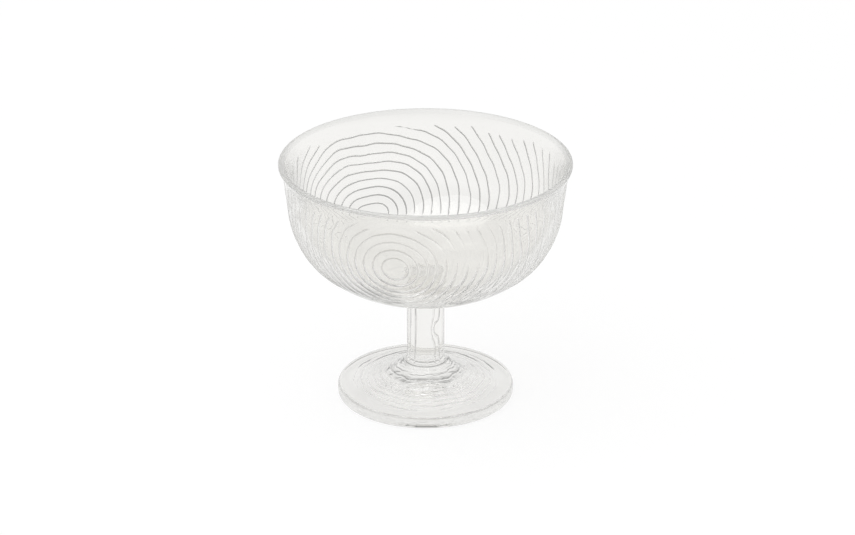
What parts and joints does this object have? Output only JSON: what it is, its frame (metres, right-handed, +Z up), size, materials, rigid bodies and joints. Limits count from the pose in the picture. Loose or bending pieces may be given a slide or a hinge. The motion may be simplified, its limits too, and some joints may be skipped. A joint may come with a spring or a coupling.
{
  "type": "ice cream cup",
  "caption": "Footed ice cream cup in clear pressed glass: bowl with growth-ring relief and an out-turned lip, short stout stem and round ringed foot.",
  "frame": {"origin": "centre of the ring that the foot stands on, in the plane of the table", "axes": "+Z up along the axis of the cup, -Y towards the viewer of the picture, +X to the viewer's right"},
  "size_m": [0.115, 0.115, 0.1],
  "materials": {
    "clear_glass": "clear pressed glass, fire-polished"
  },
  "bodies": {
    "root": {"bowl": "clear_glass", "stem": "clear_glass", "foot": "clear_glass"}
  },
  "joints": []
}
